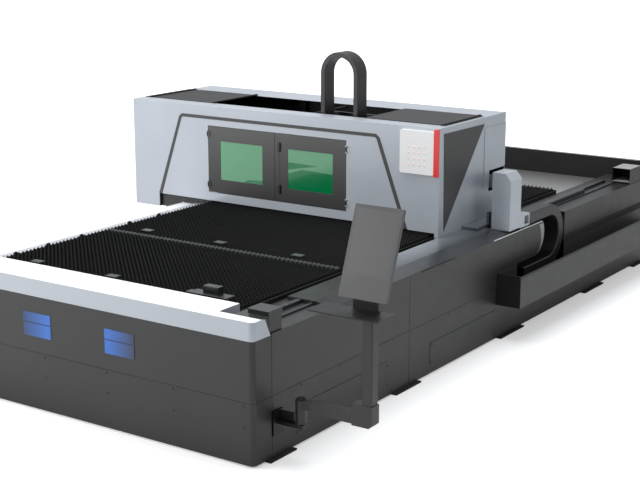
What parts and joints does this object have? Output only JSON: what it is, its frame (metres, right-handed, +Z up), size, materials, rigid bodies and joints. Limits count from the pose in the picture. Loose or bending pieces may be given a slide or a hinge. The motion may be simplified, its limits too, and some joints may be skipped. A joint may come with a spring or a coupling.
{
  "type": "fiber laser cutting machine",
  "caption": "Long flat-bed laser cutting machine with a toothed support table, a covered sliding gantry with a cutting head, and a swinging operator screen.",
  "frame": {"origin": "floor level under the middle of the bed", "axes": "+Y along the bed away from the front end, +X toward the operator arm side, +Z up"},
  "size_m": [4.157, 6.233, 2.172],
  "materials": {
    "body_grey": "satin",
    "silver_paint": "satin",
    "beam_grey": "matte",
    "steel": "machined",
    "dark_steel": "dark",
    "black_plastic": "matte",
    "white_plastic": "gloss",
    "red_plastic": "gloss",
    "blue_field": "satin",
    "green_glass": "tinted",
    "monitor_grey": "satin",
    "screen_grey": "satin",
    "pad_rubber": "matte",
    "copper": "machined",
    "aluminium": "machined"
  },
  "bodies": {
    "bed": {"front_panel_upper": "body_grey", "front_panel_lower": "body_grey", "side_panels_upper": "body_grey", "side_panels_lower": "body_grey", "access_covers": "body_grey", "panel_screws": "steel", "sign_fields": "blue_field", "front_trim": "silver_paint", "side_beams": "beam_grey", "cross_members": "beam_grey", "foot_pads": "pad_rubber", "scrap_tray": "dark_steel", "guide_rails": "steel", "racks": "steel", "rack_shrouds": "beam_grey", "front_end_caps": "body_grey", "rear_end_boxes": "beam_grey", "rear_wall": "beam_grey", "rear_floor_plate": "steel", "pallet_frame": "dark_steel", "support_blades": "dark_steel", "comb_bars": "dark_steel", "pallet_tabs": "steel", "table_clamp": "steel", "cable_tray": "body_grey", "side_energy_chain": "black_plastic", "arm_wall_bracket": "body_grey"},
    "gantry": {"cover_shell": "silver_paint", "front_strip": "body_grey", "dust_skirt": "beam_grey", "top_bars": "beam_grey", "top_slat_cover": "beam_grey", "side_triangle_plate": "body_grey", "side_raised_sheet": "silver_paint", "control_unit": "white_plastic", "control_unit_cap": "red_plastic", "cover_ribs": "beam_grey", "gantry_beam": "beam_grey", "beam_rails": "steel", "saddles": "beam_grey", "gantry_motors": "black_plastic", "chain_bracket": "silver_paint"},
    "left_door": {"door_left": "body_grey", "glass_left": "green_glass"},
    "right_door": {"door_right": "body_grey", "glass_right": "green_glass"},
    "upper_latch": {"latch_upper": "black_plastic"},
    "lower_latch": {"latch_lower": "black_plastic"},
    "carriage": {"carriage_plate": "aluminium", "carriage_motor": "black_plastic", "arch_energy_chain": "black_plastic"},
    "head": {"z_slide": "aluminium", "cutting_head": "aluminium", "nozzle": "copper"},
    "arm": {"swing_arm": "body_grey"},
    "post": {"arm_post": "body_grey", "keyboard_shelf": "beam_grey", "monitor_neck": "black_plastic"},
    "monitor": {"monitor_case": "monitor_grey", "monitor_screen": "screen_grey"}
  },
  "joints": [
    {"name": "gantry_travel", "type": "slide", "parent": "bed", "child": "gantry", "axis": [0, 1, 0], "range_m": [-2.33, 1.4], "deforming": ["side_energy_chain"]},
    {"name": "carriage_travel", "type": "slide", "parent": "gantry", "child": "carriage", "axis": [1, 0, 0], "range_m": [-1.1, 0.7]},
    {"name": "head_lift", "type": "slide", "parent": "carriage", "child": "head", "axis": [0, 0, 1], "range_m": [-0.04, 0.1], "deforming": ["arch_energy_chain"]},
    {"name": "left_door_hinge", "type": "hinge", "parent": "gantry", "child": "left_door", "pos_m": [-1.134, -0.306, 1.225], "axis": [0, 0, 1], "range_deg": [-110, 0]},
    {"name": "right_door_hinge", "type": "hinge", "parent": "gantry", "child": "right_door", "pos_m": [0.258, -0.306, 1.225], "axis": [0, 0, 1], "range_deg": [0, 110]},
    {"name": "upper_latch_turn", "type": "hinge", "parent": "right_door", "child": "upper_latch", "pos_m": [-0.392, -0.299, 1.396], "axis": [0, 1, 0], "range_deg": [-90, 0]},
    {"name": "lower_latch_turn", "type": "hinge", "parent": "right_door", "child": "lower_latch", "pos_m": [-0.392, -0.299, 1.047], "axis": [0, 1, 0], "range_deg": [-90, 0]},
    {"name": "arm_swing", "type": "hinge", "parent": "bed", "child": "arm", "pos_m": [1.608, -2.855, 0.32], "axis": [0, 0, 1], "range_deg": [-80, 55]},
    {"name": "post_swivel", "type": "hinge", "parent": "arm", "child": "post", "pos_m": [2.101, -2.856, 0.465], "axis": [0, 0, 1], "range_deg": [-45, 45]},
    {"name": "monitor_tilt", "type": "hinge", "parent": "post", "child": "monitor", "pos_m": [2.008, -2.73044, 1.20575], "axis": [1, 0, 0], "range_deg": [-12, 12]}
  ]
}
